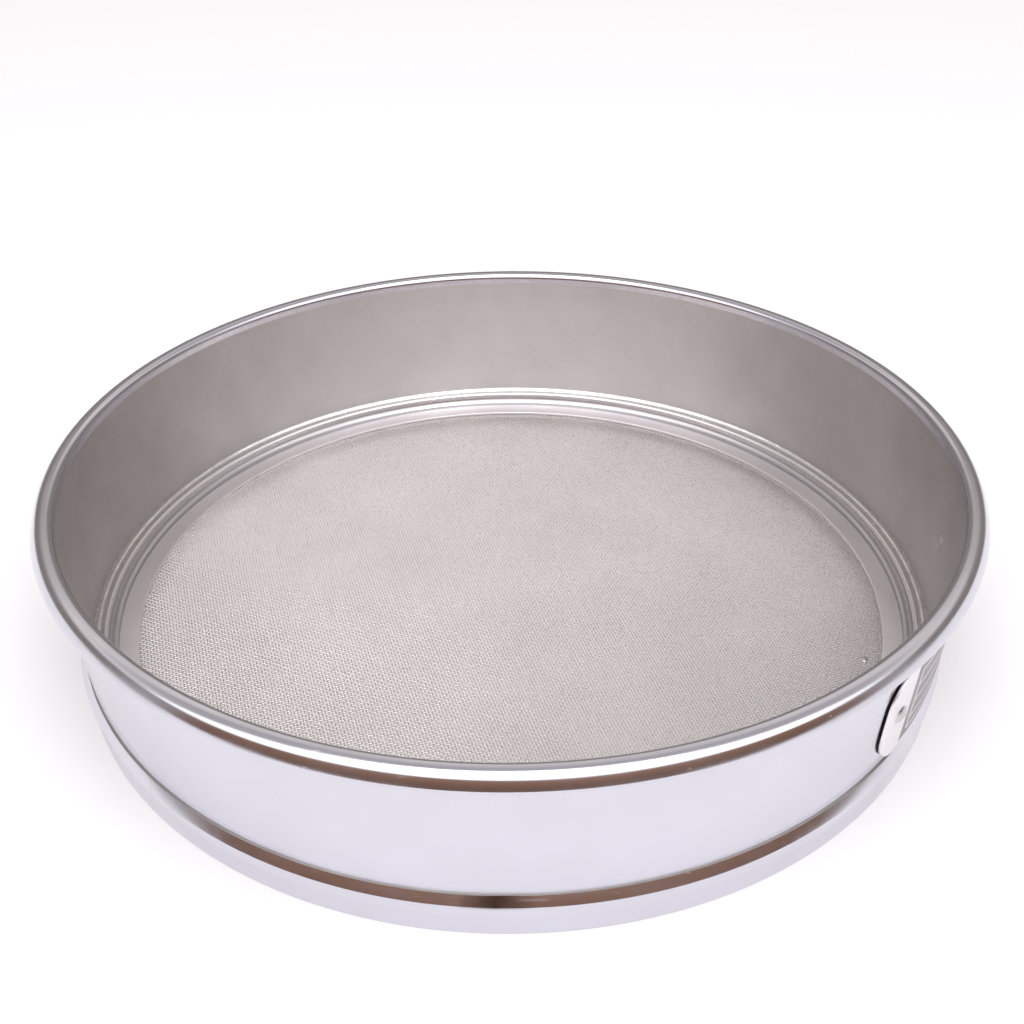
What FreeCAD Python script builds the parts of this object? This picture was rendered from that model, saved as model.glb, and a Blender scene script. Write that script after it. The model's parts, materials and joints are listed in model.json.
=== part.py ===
import FreeCAD, Part
import math
import os
import re

import Sketcher

# A round test sieve: a drawn frame with a rolled rim, a shoulder and skirt ring that nests in
# the next sieve, and woven wire cloth held on the frame's shelf by a soldered retaining ring.
# Millimetres, +Z up, origin at the centre of the skirt's bottom edge.

doc = FreeCAD.newDocument("test_sieve")

# ---- Driving dimensions -------------------------------------------------------------------
SIZES = [
    ("overallHeight", 44.0, "bottom edge of the skirt to the top of the rim"),
    ("boreRadius", 100.0, "inside of the frame at the rim, half of the nominal size"),
    ("frameSheet", 1.0, "thickness of the frame's sheet"),
    ("beadRadius", 2.5, "outside radius of the rolled rim"),
    ("curlClearance", 0.4, "gap between the end of the curl and the wall"),
    ("nestBoreDepth", 6.0, "straight part of the bore below the rim"),
    ("wallDraft", 2.4, "how much the wall closes in from the bore to the shelf"),
    ("shelfHeight", 3.8, "top of the shelf that carries the cloth"),
    ("shelfWidth", 8.8, "wall to the inner edge of the shelf"),
    ("clothThickness", 0.5, "thickness of the woven cloth"),
    ("clothMargin", 0.8, "cloth edge to the inside of the wall"),
    ("ringSheet", 0.6, "thickness of the retaining ring's sheet"),
    ("ringFlangeWidth", 4.5, "flat part of the retaining ring"),
    ("ringRise", 2.1, "radius of the hollow that rises from the flange"),
    ("ringCrown", 0.8, "radius of the rounded top of the retaining ring"),
    ("solderGap", 1.3, "outside of the ring to the foot of the wall, filled with solder"),
    ("solderRise", 1.3, "how far the solder climbs the wall above the ring"),
    ("solderDepth", 1.6, "how far the solder runs down behind the ring"),
    ("shoulderTop", 9.9, "upper edge of the shoulder on the frame"),
    ("shoulderLip", 0.3, "thickness of the skirt ring at that edge"),
    ("shoulderCrest", 8.0, "height of the shoulder's widest circle"),
    ("shoulderReach", 0.6, "how far the shoulder stands outside the bore radius"),
    ("shoulderFoot", 4.5, "height where the shoulder has turned into the skirt"),
    ("shoulderRound", 5.0, "radius of the hollow turn from the shoulder to the skirt"),
    ("nestClearance", 0.4, "skirt to the bore of the sieve below"),
    ("plateLength", 76.0, "nameplate, along the wall"),
    ("plateSheet", 0.45, "nameplate thickness"),
    ("plateStandoff", 0.25, "gap between the nameplate and the wall"),
    ("plateRaise", 1.3, "upper edge of the shoulder to the lower edge of the nameplate"),
    ("plateDrop", 0.3, "upper edge of the nameplate to the straight part of the bore"),
    ("plateCorner", 8.0, "corner radius of the nameplate"),
    ("plateBearing", -23.5, "direction that the nameplate faces, in degrees from +X"),
    ("rivetInset", 6.5, "rivet centre to the end of the nameplate"),
    ("rivetRadius", 1.2, "rivet shank"),
    ("rivetHeadRadius", 2.1, "rivet head and tail"),
    ("rivetHeadHeight", 0.9, "domed head outside the nameplate"),
    ("rivetTailHeight", 0.15, "tail inside the wall, nearly flush"),
]

# ---- Places that several pieces share -----------------------------------------------------
SHARED = [
    ("rimCentre", "overallHeight - beadRadius", "height of the rolled rim's centre"),
    ("curlAcross", "beadRadius - frameSheet - curlClearance", "curl's end, in from that centre"),
    ("curlDrop", "sqrt(beadRadius ^ 2 - curlAcross ^ 2)", "curl's end, below that centre"),
    ("curlInside", "1 - frameSheet / beadRadius", "inside of the curl as a share of its outside"),
    ("nestBoreEnd", "rimCentre - nestBoreDepth", "where the straight bore ends"),
    ("wallFoot", "boreRadius - wallDraft", "inside of the wall at the shelf"),
    ("wallSlope", "wallDraft / (nestBoreEnd - shelfHeight)", "radius gained per millimetre up"),
    ("outerFoot", "wallFoot + frameSheet", "outside of the wall at the shelf"),
    ("outerBore", "boreRadius + frameSheet", "outside of the wall at the rim"),
    ("clothTop", "shelfHeight + clothThickness", "top of the cloth, where the ring sits"),
    ("ringTop", "clothTop + ringSheet", "top of the ring's flange"),
    ("shelfRadius", "wallFoot - shelfWidth", "inner edge of the shelf"),
    ("ringOutside", "wallFoot - solderGap", "outside of the retaining ring"),
    ("crownCentre", "ringOutside - ringCrown", "highest circle of the ring"),
    ("crownStart", "crownCentre - ringCrown", "where the rise turns over"),
    ("hollowStart", "crownStart - ringRise", "where the ring starts to rise"),
    ("ringInnerRadius", "hollowStart - ringFlangeWidth", "inner edge of the retaining ring"),
    ("crownBase", "ringTop + ringRise", "height where the crown starts"),
    ("solderTop", "crownBase + solderRise", "upper edge of the solder on the wall"),
    ("solderFoot", "crownBase - solderDepth", "lower edge of the solder"),
    ("skirtRadius", "boreRadius - nestClearance", "outside of the skirt"),
    ("plateBottom", "shoulderTop + plateRaise", "lower edge of the nameplate"),
    ("plateHeight", "nestBoreEnd - plateDrop - plateBottom", "nameplate, up the wall"),
    ("plateMiddle", "plateBottom + plateHeight / 2", "height of the nameplate's centre"),
    ("plateBack", "plateStandoff + outerBore", "back of the nameplate, where the bore is straight"),
    ("plateFront", "plateBack + plateSheet", "front of the nameplate, likewise"),
    ("rivetSeat", "plateFront - (nestBoreEnd - plateMiddle) * wallSlope", "radius under the heads"),
    ("rivetTilt", "atan(wallSlope) / 1deg", "slope of the wall in degrees"),
    ("rivetGrip", "(plateSheet + plateStandoff + frameSheet) * cos(rivetTilt)", "head to tail"),
    ("rivetSpread", "asin((plateLength / 2 - rivetInset) / rivetSeat) / 1deg", "rivets, in degrees"),
]

sheet = doc.addObject("Spreadsheet::Sheet", "Sizes")
for row, (alias, value, meaning) in enumerate(SIZES + SHARED, start=1):
    sheet.set(f"A{row}", alias)
    sheet.set(f"B{row}", f"={value}" if isinstance(value, str) else str(value))
    sheet.set(f"C{row}", meaning)
    sheet.setAlias(f"B{row}", alias)
doc.recompute()

NAMES = {alias for alias, _, _ in SIZES + SHARED}


def bound(formula):
    """The formula with the sheet's names written the way other objects refer to them."""
    return re.sub(r"[A-Za-z]\w*", lambda word: qualified(word.group()), formula)


def qualified(word):
    return f"Sizes.{word}" if word in NAMES else word


def size(formula):
    """What the formula comes to with the sheet's present values."""
    return float(sheet.evalExpression(formula))


# ---- Sketching helpers --------------------------------------------------------------------
HORIZONTAL_AXIS = -1
ORIGIN_POINT = (-1, 1)


def arc_between(start, end, radius, turn):
    """Arc of less than half a circle from start to end. turn is 1 anticlockwise, -1 clockwise."""
    chord = end - start
    middle = (start + end) * 0.5
    left = FreeCAD.Vector(-chord.y, chord.x, 0).normalize()
    rise = math.sqrt(max(radius**2 - (chord.Length / 2) ** 2, 0))
    centre = middle + left * rise * turn
    first, last = (start, end) if turn > 0 else (end, start)
    first_angle = math.atan2(first.y - centre.y, first.x - centre.x)
    last_angle = math.atan2(last.y - centre.y, last.x - centre.x)
    circle = Part.Circle(centre, FreeCAD.Vector(0, 0, 1), radius)
    return Part.ArcOfCircle(circle, first_angle, last_angle)


def pin(sketch, point, formula, direction):
    """Hold one coordinate of a sketch point at the formula's value."""
    if formula == "0":
        other_axis = HORIZONTAL_AXIS if direction == "DistanceY" else HORIZONTAL_AXIS - 1
        sketch.addConstraint(Sketcher.Constraint("PointOnObject", *point, other_axis))
        return
    rule = Sketcher.Constraint(direction, *ORIGIN_POINT, *point, size(formula))
    index = sketch.addConstraint(rule)
    sketch.setExpression(f"Constraints[{index}]", bound(formula))


def outline(body, plane, corners):
    """A closed sketch on one of the body's own planes.

    Each corner is (across, up) and runs straight to the next one, or (across, up, radius,
    turn) and runs to it along an arc.
    """
    sketch = body.newObject("Sketcher::SketchObject", body.Name + "_outline")
    origin_plane = [item for item in body.Origin.OriginFeatures if item.Role == plane]
    sketch.AttachmentSupport = (origin_plane[0], [""])
    sketch.MapMode = "FlatFace"
    places = [FreeCAD.Vector(size(corner[0]), size(corner[1]), 0) for corner in corners]
    ends = []
    for number, corner in enumerate(corners):
        start, end = places[number], places[(number + 1) % len(corners)]
        if len(corner) == 2:
            edge = sketch.addGeometry(Part.LineSegment(start, end), False)
            ends.append(((edge, 1), (edge, 2)))
            continue
        radius, turn = corner[2:]
        edge = sketch.addGeometry(arc_between(start, end, size(radius), turn), False)
        ends.append(((edge, 1), (edge, 2)) if turn > 0 else ((edge, 2), (edge, 1)))
        index = sketch.addConstraint(Sketcher.Constraint("Radius", edge, size(radius)))
        sketch.setExpression(f"Constraints[{index}]", bound(radius))
    for number, corner in enumerate(corners):
        previous_end = ends[number - 1][1]
        start_point = ends[number][0]
        sketch.addConstraint(Sketcher.Constraint("Coincident", *previous_end, *start_point))
        pin(sketch, start_point, corner[0], "DistanceX")
        pin(sketch, start_point, corner[1], "DistanceY")
    return sketch


def turned(name, corners):
    """A body made by turning an outline of (radius, height) corners about the Z axis."""
    body = doc.addObject("PartDesign::Body", name)
    sketch = outline(body, "XZ_Plane", corners)
    turning = body.newObject("PartDesign::Revolution", name + "_turned")
    turning.Profile = sketch
    turning.ReferenceAxis = (sketch, ["V_Axis"])
    turning.Angle = 360
    body.Tip = turning
    return body


def wall_outside(height):
    """Formula for the frame's outside radius at a height on its drafted part."""
    return f"outerBore - (nestBoreEnd - ({height})) * wallSlope"


def wall_inside(height):
    return f"boreRadius - (nestBoreEnd - ({height})) * wallSlope"


# ---- Nameplate rivets and their holes -----------------------------------------------------
def stand_on_plate(piece, side):
    """Put a piece's origin under a rivet head, its Z axis square to the wall and outward."""
    bearing = f"plateBearing + {side} * rivetSpread"
    place = (
        f"placement(vector(rivetSeat * cos({bearing}); rivetSeat * sin({bearing}); plateMiddle);"
        f" rotation({bearing}; 90 + rivetTilt; 0))"
    )
    piece.setExpression("Placement", bound(place))


def rivet(name, side):
    """A domed rivet whose tail is clenched inside the wall."""
    dome_radius = "(rivetHeadRadius ^ 2 + rivetHeadHeight ^ 2) / (2 * rivetHeadHeight)"
    corners = [
        ("0", "rivetHeadHeight", dome_radius, -1),
        ("rivetHeadRadius", "0"),
        ("rivetRadius", "0"),
        ("rivetRadius", "-rivetGrip"),
        ("rivetHeadRadius", "-rivetGrip"),
        ("rivetHeadRadius", "-rivetGrip - rivetTailHeight"),
        ("0", "-rivetGrip - rivetTailHeight"),
    ]
    body = turned(name, corners)
    stand_on_plate(body, side)
    return body


def rivet_hole(name, side):
    """A cutter as wide as a rivet's shank that reaches past the plate and the wall."""
    cutter = doc.addObject("Part::Cylinder", name)
    cutter.setExpression("Radius", bound("rivetRadius"))
    cutter.setExpression("Height", bound("3 * rivetGrip"))
    bearing = f"plateBearing + {side} * rivetSpread"
    start = "rivetSeat - 2 * rivetGrip * cos(rivetTilt)"
    height = "plateMiddle + 2 * rivetGrip * sin(rivetTilt)"
    place = (
        f"placement(vector(({start}) * cos({bearing}); ({start}) * sin({bearing}); {height});"
        f" rotation({bearing}; 90 + rivetTilt; 0))"
    )
    cutter.setExpression("Placement", bound(place))
    return cutter


def drilled(label, blank, holes):
    """The blank with both rivet holes cut through it."""
    result = blank
    for number, hole in enumerate(holes):
        cut = doc.addObject("Part::Cut", f"{label}_hole_{number + 1}")
        cut.Base = result
        cut.Tool = hole
        result = cut
    return result


SIDES = (("left", -1), ("right", 1))
rivets = {f"rivet_{word}": rivet(f"rivet_{word}", side) for word, side in SIDES}
holes = [rivet_hole(f"rivet_hole_{word}", side) for word, side in SIDES]

# ---- Frame: rolled rim, drafted wall and the shelf under the cloth --------------------------
bead_across = "boreRadius + beadRadius"
inner_bead = "beadRadius - frameSheet"
frame_blank = turned(
    "frame_blank",
    [
        ("boreRadius", "nestBoreEnd"),
        ("boreRadius", "rimCentre", "beadRadius", -1),
        (bead_across, "overallHeight", "beadRadius", -1),
        ("boreRadius + 2 * beadRadius", "rimCentre", "beadRadius", -1),
        (bead_across, "rimCentre - beadRadius", "beadRadius", -1),
        (f"{bead_across} - curlAcross", "rimCentre - curlDrop"),
        (
            f"{bead_across} - curlAcross * curlInside",
            "rimCentre - curlDrop * curlInside",
            inner_bead,
            1,
        ),
        (bead_across, f"rimCentre - ({inner_bead})", inner_bead, 1),
        (f"{bead_across} + {inner_bead}", "rimCentre", inner_bead, 1),
        (bead_across, f"rimCentre + {inner_bead}", inner_bead, 1),
        ("outerBore", "rimCentre"),
        ("outerBore", "nestBoreEnd"),
        ("outerFoot", "shelfHeight", "frameSheet", -1),
        ("wallFoot", "shelfHeight - frameSheet"),
        ("shelfRadius", "shelfHeight - frameSheet"),
        ("shelfRadius", "shelfHeight"),
        ("wallFoot", "shelfHeight"),
    ],
)
upper_frame = drilled("upper_frame", frame_blank, holes)

# ---- Skirt ring: the shoulder that rests on the next rim and the skirt that enters its bore --
lower_skirt = turned(
    "lower_skirt",
    [
        ("outerFoot", "0"),
        ("skirtRadius", "0"),
        ("skirtRadius", "shoulderFoot", "shoulderRound", 1),
        ("boreRadius + shoulderReach", "shoulderCrest"),
        (f"{wall_outside('shoulderTop')} + shoulderLip", "shoulderTop"),
        (wall_outside("shoulderTop"), "shoulderTop"),
        ("outerFoot", "shelfHeight"),
    ],
)

# ---- Wire cloth: one thin disc clamped between the shelf and the retaining ring --------------
wire_cloth = doc.addObject("Part::Cylinder", "wire_cloth")
wire_cloth.setExpression("Radius", bound("wallFoot - clothMargin"))
wire_cloth.setExpression("Height", bound("clothThickness"))
wire_cloth.setExpression("Placement.Base.z", bound("shelfHeight"))

# ---- Retaining ring: flat flange, a hollow rise and a rounded crown ---------------------------
inner_crown = "ringCrown - ringSheet"
outer_rise = "ringRise + ringSheet"
retaining_ring = turned(
    "retaining_ring",
    [
        ("ringInnerRadius", "clothTop"),
        ("ringInnerRadius", "ringTop"),
        ("hollowStart", "ringTop", "ringRise", 1),
        ("crownStart", "crownBase", "ringCrown", -1),
        ("crownCentre", "crownBase + ringCrown", "ringCrown", -1),
        ("ringOutside", "crownBase"),
        ("ringOutside", "clothTop"),
        ("ringOutside - ringSheet", "clothTop"),
        ("ringOutside - ringSheet", "crownBase", inner_crown, 1),
        ("crownCentre", f"crownBase + {inner_crown}", inner_crown, 1),
        (f"hollowStart + {outer_rise}", "crownBase", outer_rise, -1),
        ("hollowStart", "clothTop"),
    ],
)

# ---- Solder: fills the gap between the ring and the wall and slopes up to the wall ------------
solder_bead = turned(
    "solder_bead",
    [
        ("ringOutside", "solderFoot"),
        ("ringOutside", "crownBase"),
        (wall_inside("solderTop"), "solderTop"),
        (wall_inside("solderFoot"), "solderFoot"),
    ],
)

# ---- Nameplate: a slice of a cone that follows the wall, with rounded corners -----------------
plate_ring = turned(
    "plate_ring",
    [
        ("plateBack - (nestBoreEnd - plateBottom) * wallSlope", "plateBottom"),
        ("plateFront - (nestBoreEnd - plateBottom) * wallSlope", "plateBottom"),
        (
            "plateFront - (nestBoreEnd - plateBottom - plateHeight) * wallSlope",
            "plateBottom + plateHeight",
        ),
        (
            "plateBack - (nestBoreEnd - plateBottom - plateHeight) * wallSlope",
            "plateBottom + plateHeight",
        ),
    ],
)
plate_blank = doc.addObject("PartDesign::Body", "plate_blank")
blank_sketch = outline(
    plate_blank,
    "YZ_Plane",
    [
        ("plateCorner", "0"),
        ("plateLength - plateCorner", "0", "plateCorner", 1),
        ("plateLength", "plateCorner"),
        ("plateLength", "plateHeight - plateCorner", "plateCorner", 1),
        ("plateLength - plateCorner", "plateHeight"),
        ("plateCorner", "plateHeight", "plateCorner", 1),
        ("0", "plateHeight - plateCorner"),
        ("0", "plateCorner", "plateCorner", 1),
    ],
)
blank_pad = plate_blank.newObject("PartDesign::Pad", "plate_blank_pad")
blank_pad.Profile = blank_sketch
blank_pad.setExpression("Length", bound("plateFront + plateLength"))
plate_blank.Tip = blank_pad
plate_blank.setExpression(
    "Placement",
    bound(
        "placement(vector(sin(plateBearing) * plateLength / 2;"
        " -cos(plateBearing) * plateLength / 2; plateBottom); rotation(plateBearing; 0; 0))"
    ),
)
plate_shape = doc.addObject("Part::Common", "plate_shape")
plate_shape.Base = plate_ring
plate_shape.Tool = plate_blank
nameplate = drilled("nameplate", plate_shape, holes)

doc.recompute()

# ---- Checks and export ----------------------------------------------------------------------
pieces = {
    "upper_frame": upper_frame,
    "lower_skirt": lower_skirt,
    "wire_cloth": wire_cloth,
    "retaining_ring": retaining_ring,
    "solder_bead": solder_bead,
    "nameplate": nameplate,
    **rivets,
}

for item in doc.Objects:
    if {"Invalid", "Error"} & set(item.State):
        raise RuntimeError(f"{item.Name} failed to build: {item.State}")

os.makedirs("parts", exist_ok=True)
for node, piece in pieces.items():
    piece.Label = node
    if piece.Shape.isNull() or not piece.Shape.isValid():
        raise RuntimeError(f"{node} has no valid shape")
    piece.Shape.exportStep(f"parts/{node}.step")
    print(f"{node}: {len(piece.Shape.Solids)} solid, {piece.Shape.Volume:.1f} mm3")
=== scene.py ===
import json
import math
import bpy
import bmesh
import numpy as np
from mathutils import Matrix, Vector


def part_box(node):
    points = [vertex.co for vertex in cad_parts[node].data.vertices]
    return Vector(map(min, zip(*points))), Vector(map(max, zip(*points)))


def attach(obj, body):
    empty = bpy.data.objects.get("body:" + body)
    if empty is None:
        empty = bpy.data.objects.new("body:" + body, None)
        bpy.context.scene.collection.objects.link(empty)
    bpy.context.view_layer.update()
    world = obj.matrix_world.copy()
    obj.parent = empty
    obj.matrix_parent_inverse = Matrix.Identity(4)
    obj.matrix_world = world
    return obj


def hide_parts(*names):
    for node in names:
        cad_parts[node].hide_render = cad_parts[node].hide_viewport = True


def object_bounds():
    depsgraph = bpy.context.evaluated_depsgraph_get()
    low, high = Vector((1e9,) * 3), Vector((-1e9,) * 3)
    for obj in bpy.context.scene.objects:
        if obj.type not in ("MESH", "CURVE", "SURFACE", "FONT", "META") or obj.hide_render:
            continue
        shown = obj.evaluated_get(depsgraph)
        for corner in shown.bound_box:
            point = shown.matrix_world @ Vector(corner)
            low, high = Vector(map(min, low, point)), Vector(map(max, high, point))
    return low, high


# A round test sieve with a rolled rim, woven cloth, a soldered retaining ring and a riveted plate.
# Metres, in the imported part's own frame.

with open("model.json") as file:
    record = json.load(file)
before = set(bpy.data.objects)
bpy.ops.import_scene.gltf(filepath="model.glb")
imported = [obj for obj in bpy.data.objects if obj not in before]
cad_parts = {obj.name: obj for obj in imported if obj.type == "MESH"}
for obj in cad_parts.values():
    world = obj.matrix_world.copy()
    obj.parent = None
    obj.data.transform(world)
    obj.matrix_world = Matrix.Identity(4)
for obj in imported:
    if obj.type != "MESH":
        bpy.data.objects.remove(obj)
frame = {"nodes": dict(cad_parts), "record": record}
cadLow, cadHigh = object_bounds()
mounts = {mount["name"]: mount for mount in frame["record"]["mounts"]}
boreRadius = mounts["nest_bore"]["dims"]["r_mm"] / 1000
skirtRadius = mounts["skirt_spigot"]["dims"]["r_mm"] / 1000
rimTop = cadHigh.z
clothLow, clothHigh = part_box("wire_cloth")
print("frame loaded:", len(frame["nodes"]), "nodes")


# The camera stands in front of the sieve and looks down on it.
camera = {
    "place": Vector((0.0, -0.2587, rimTop + 0.1521)),
    "lookDown": 33.19,  # degrees below level
    "turn": 0.10,
    "lean": 0.44,
    "lens": 46.34,
    "sensor": 36.0,
    "nearest": 0.01,
    "farthest": 20.0,
}


def aimCamera():
    data = bpy.data.cameras.new("camera")
    data.lens = camera["lens"]
    data.sensor_width = camera["sensor"]
    data.clip_start = camera["nearest"]
    data.clip_end = camera["farthest"]
    cameraObject = bpy.data.objects.new("camera", data)
    bpy.context.collection.objects.link(cameraObject)
    turn = Matrix.Rotation(math.radians(-camera["turn"]), 4, "Z")
    tilt = Matrix.Rotation(math.radians(90 - camera["lookDown"]), 4, "X")
    lean = Matrix.Rotation(math.radians(-camera["lean"]), 4, "Z")
    cameraObject.matrix_world = Matrix.Translation(camera["place"]) @ turn @ tilt @ lean
    bpy.context.scene.camera = cameraObject


aimCamera()
print("camera set")


# The light and the floor.
studio = {
    "floorReach": 1.6,
    "floorFront": -0.52,  # the sheet of white board ends here, in front of the sieve
    "floorColour": (0.90, 0.895, 0.92),
    "floorRoughness": 0.8,
    "overheadPower": 3.6,
    "overheadSize": 0.9,
    "overheadPlace": (0.0, -0.35, 0.95),
    "skyStrength": 1.0,
    # colours by height, 0.5 level and 1 straight up: brown behind the camera, white above it
    "front": [
        (0.00, (0.16, 0.095, 0.070)),
        (0.50, (0.18, 0.105, 0.078)),
        (0.62, (0.31, 0.170, 0.115)),
        (0.69, (0.34, 0.200, 0.145)),
        (0.735, (1.85, 1.83, 1.81)),
        (1.00, (1.65, 1.64, 1.64)),
    ],
    "sides": [
        (0.00, (0.30, 0.30, 0.30)),
        (0.50, (0.50, 0.47, 0.47)),
        (0.66, (0.42, 0.395, 0.40)),
        (0.71, (0.42, 0.40, 0.41)),
        (0.78, (1.70, 1.68, 1.68)),
        (0.93, (1.85, 1.84, 1.85)),
    ],
    "back": [
        (0.00, (0.30, 0.30, 0.30)),
        (0.52, (0.36, 0.33, 0.31)),
        (0.64, (0.26, 0.23, 0.21)),
        (0.75, (0.36, 0.33, 0.31)),
        (0.80, (0.98, 0.93, 0.88)),
        (0.88, (0.54, 0.51, 0.52)),
    ],
    "frontStart": -0.10, "frontFull": -0.42,
    "backStart": -0.10, "backFull": 0.10,
    "backdrop": (1.0, 1.0, 1.0),
    "turn": -0.05,  # the front light stands a little to the right
}


def lightStudio():
    world = bpy.data.worlds.new("studio")
    bpy.context.scene.world = world
    world.use_nodes = True
    nodes, links = world.node_tree.nodes, world.node_tree.links
    background = nodes["Background"]
    background.inputs["Strength"].default_value = studio["skyStrength"]
    where = nodes.new("ShaderNodeTexCoord")
    parts = nodes.new("ShaderNodeSeparateXYZ")
    links.new(where.outputs["Generated"], parts.inputs["Vector"])
    lifted = nodes.new("ShaderNodeMath")
    lifted.operation = "MULTIPLY_ADD"
    lifted.inputs[1].default_value = 0.5
    lifted.inputs[2].default_value = 0.5
    links.new(parts.outputs["Z"], lifted.inputs[0])

    turned = nodes.new("ShaderNodeMath")
    turned.operation = "MULTIPLY_ADD"
    turned.inputs[1].default_value = studio["turn"]
    links.new(parts.outputs["X"], turned.inputs[0])
    links.new(parts.outputs["Y"], turned.inputs[2])

    def rampOf(stops):
        ramp = nodes.new("ShaderNodeValToRGB")
        fillRamp(ramp, stops)
        links.new(lifted.outputs[0], ramp.inputs["Fac"])
        return ramp.outputs["Color"]

    def mixedAcross(start, end, first, second):
        # from the first colour to the second as the direction goes from start to end, front to back
        share = nodes.new("ShaderNodeMapRange")
        share.interpolation_type = "SMOOTHSTEP"
        share.inputs["From Min"].default_value = start
        share.inputs["From Max"].default_value = end
        links.new(turned.outputs[0], share.inputs["Value"])
        mix = nodes.new("ShaderNodeMix")
        mix.data_type = "RGBA"
        links.new(share.outputs["Result"], mix.inputs["Factor"])
        links.new(first, mix.inputs["A"])
        links.new(second, mix.inputs["B"])
        return mix.outputs["Result"]

    sides = rampOf(studio["sides"])
    withFront = mixedAcross(studio["frontStart"], studio["frontFull"],
                            sides, rampOf(studio["front"]))
    whole = mixedAcross(studio["backStart"], studio["backFull"],
                        withFront, rampOf(studio["back"]))
    # the lens sees a plain pale backdrop; the steel reflects the studio
    seen = nodes.new("ShaderNodeLightPath")
    backdrop = nodes.new("ShaderNodeMix")
    backdrop.data_type = "RGBA"
    backdrop.inputs["B"].default_value = (*studio["backdrop"], 1.0)
    links.new(seen.outputs["Is Camera Ray"], backdrop.inputs["Factor"])
    links.new(whole, backdrop.inputs["A"])
    links.new(backdrop.outputs["Result"], background.inputs["Color"])

    lamp = bpy.data.lights.new("overhead", "AREA")
    lamp.shape = "DISK"
    lamp.size = studio["overheadSize"]
    lamp.energy = studio["overheadPower"]
    overhead = bpy.data.objects.new("overhead", lamp)
    overhead.location = studio["overheadPlace"]
    bpy.context.collection.objects.link(overhead)


def fillRamp(ramp, stops):
    elements = ramp.color_ramp.elements
    while len(elements) < len(stops):
        elements.new(0.5)
    for element, (place, colour) in zip(elements, stops):
        element.position = place
        element.color = (*colour, 1.0)


def layFloor():
    reach, front = studio["floorReach"], studio["floorFront"]
    mesh = bpy.data.meshes.new("floor")
    corners = [(-reach, front, 0), (reach, front, 0), (reach, reach, 0), (-reach, reach, 0)]
    mesh.from_pydata(corners, [], [(0, 1, 2, 3)])
    floor = bpy.data.objects.new("floor", mesh)
    bpy.context.collection.objects.link(floor)
    material = bpy.data.materials.new("whiteBoard")
    material.use_nodes = True
    shader = material.node_tree.nodes["Principled BSDF"]
    shader.inputs["Base Color"].default_value = (*studio["floorColour"], 1)
    shader.inputs["Roughness"].default_value = studio["floorRoughness"]
    mesh.materials.append(material)


lightStudio()
layFloor()
bpy.context.scene.view_settings.view_transform = "Standard"
print("studio lit")


# Effects that several materials share.
effects = {
    "lineSlant": 0.9,  # how far the lines follow the radius as well as the height
    "lineStretch": 0.1,
    "lineDetail": 4.0, "lineBreakup": 0.65,
    "smudgeRange": (0.35, 0.70), "smudgeTint": 0.35,
    "spotRange": (0.62, 0.76), "spotTint": 0.18,
    "scratchRuns": ((0.6, 26.0), (2.1, 34.0)),  # turn in radians, and stretch
    "scratchRange": (0.70, 0.76), "scratchRoughness": 0.10,
    "scratchBump": 0.05, "scratchDepth": 0.00001,
    "lineDepth": 0.00003,
    "waveScale": 55.0, "waveDepth": 0.0006,
}


def groupOf(name, inputs, outputs):
    group = bpy.data.node_groups.new(name, "ShaderNodeTree")
    for label, kind, value in inputs:
        socket = group.interface.new_socket(label, in_out="INPUT", socket_type=kind)
        if value is not None:
            socket.default_value = value
    for label, kind in outputs:
        group.interface.new_socket(label, in_out="OUTPUT", socket_type=kind)
    return group, group.nodes.new("NodeGroupInput"), group.nodes.new("NodeGroupOutput")


def mathNode(tree, operation, first, second=None, third=None):
    node = tree.nodes.new("ShaderNodeMath")
    node.operation = operation
    for place, value in enumerate((first, second, third)):
        if isinstance(value, bpy.types.NodeSocket):
            tree.links.new(value, node.inputs[place])
        elif value is not None:
            node.inputs[place].default_value = value
    return node.outputs[0]


def rangeNode(tree, value, low, high, outLow=0.0, outHigh=1.0):
    node = tree.nodes.new("ShaderNodeMapRange")
    for label, item in (("Value", value), ("From Min", low), ("From Max", high),
                        ("To Min", outLow), ("To Max", outHigh)):
        if isinstance(item, bpy.types.NodeSocket):
            tree.links.new(item, node.inputs[label])
        else:
            node.inputs[label].default_value = item
    return node.outputs["Result"]


def noiseNode(tree, vector, scale, detail=3.0, roughness=0.5):
    node = tree.nodes.new("ShaderNodeTexNoise")
    tree.links.new(vector, node.inputs["Vector"])
    for label, value in (("Scale", scale), ("Detail", detail), ("Roughness", roughness)):
        if isinstance(value, bpy.types.NodeSocket):
            tree.links.new(value, node.inputs[label])
        else:
            node.inputs[label].default_value = value
    return node.outputs["Fac"]


def mixColours(tree, factor, first, second):
    node = tree.nodes.new("ShaderNodeMix")
    node.data_type = "RGBA"
    for label, value in (("Factor", factor), ("A", first), ("B", second)):
        if isinstance(value, bpy.types.NodeSocket):
            tree.links.new(value, node.inputs[label])
        else:
            node.inputs[label].default_value = value if label == "Factor" else (*value, 1.0)
    return node.outputs["Result"]


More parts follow.
